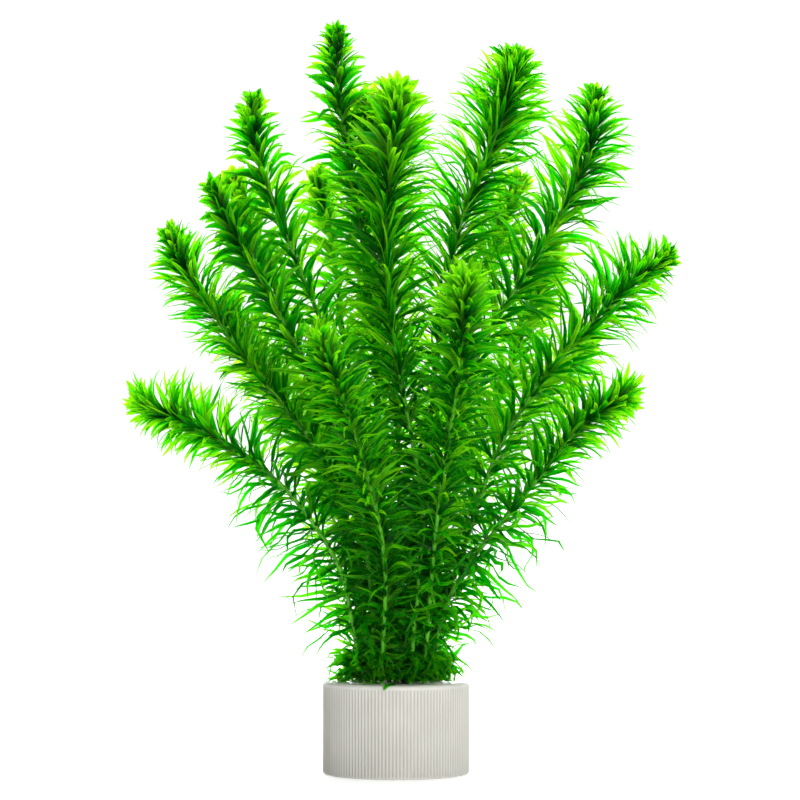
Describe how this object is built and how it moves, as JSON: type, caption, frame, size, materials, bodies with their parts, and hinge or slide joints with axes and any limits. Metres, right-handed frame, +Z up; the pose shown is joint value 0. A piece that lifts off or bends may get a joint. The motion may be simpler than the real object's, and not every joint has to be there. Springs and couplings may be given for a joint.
{
  "type": "potted bunch of aquarium waterweed",
  "caption": "Bunch of leafy upright waterweed shoots held by a foam plug in a short ribbed ceramic pot that stands on its flat base.",
  "frame": {"origin": "centre of the pot's flat underside", "axes": "+Z up along the pot's axis, front towards -Y, +X to the right as seen from the front"},
  "size_m": [0.1655, 0.1186, 0.2312],
  "materials": {
    "ceramic": "satin",
    "foam": "matte",
    "deep_leaf": "satin",
    "lime_leaf": "satin"
  },
  "bodies": {
    "root": {"pot": "ceramic", "plug": "foam", "shoot_centre": "deep_leaf", "shoot_tallest": "deep_leaf", "shoot_upper_right": "deep_leaf", "shoot_tall_right": "deep_leaf", "shoot_upper_left": "deep_leaf", "shoot_outer_right": "deep_leaf", "shoot_outer_left": "deep_leaf", "shoot_mid_left": "deep_leaf", "shoot_low_left": "deep_leaf", "shoot_low_right": "deep_leaf", "shoot_front_left": "deep_leaf", "shoot_front_right": "deep_leaf", "shoot_centre_back": "lime_leaf", "shoot_mid_left_back": "lime_leaf", "shoot_outer_left_back": "lime_leaf", "shoot_back_left": "lime_leaf", "shoot_back_tall": "lime_leaf", "shoot_back_right": "lime_leaf", "shoot_back_centre": "lime_leaf", "shoot_low_right_back": "lime_leaf", "shoot_low_left_back": "lime_leaf", "shoot_rear_right": "lime_leaf", "shoot_rear_left": "lime_leaf"}
  },
  "joints": []
}
